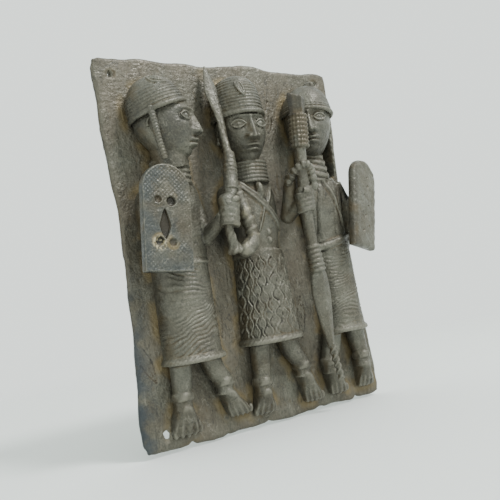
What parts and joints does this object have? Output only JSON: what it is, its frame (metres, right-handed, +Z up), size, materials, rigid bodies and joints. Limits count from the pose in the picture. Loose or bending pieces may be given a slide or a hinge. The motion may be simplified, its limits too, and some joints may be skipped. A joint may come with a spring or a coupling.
{
  "type": "relief plaque",
  "caption": "Cast bronze wall plaque with standing warriors in high relief, with round-topped shields, a curved sword and a long-bladed staff.",
  "frame": {"origin": "middle of the plaque's flat back, which lies against the wall", "axes": "+Y into the wall, so the relief faces -Y; +Z up the plaque; +X to the viewer's right"},
  "size_m": [0.346, 0.0748, 0.425],
  "materials": {
    "bronze": "cast bronze with a dull grey-brown patina, ochre dirt in the hollows and worn, slightly shiny high points"
  },
  "bodies": {
    "root": {"relief_plaque": "bronze"}
  },
  "joints": []
}
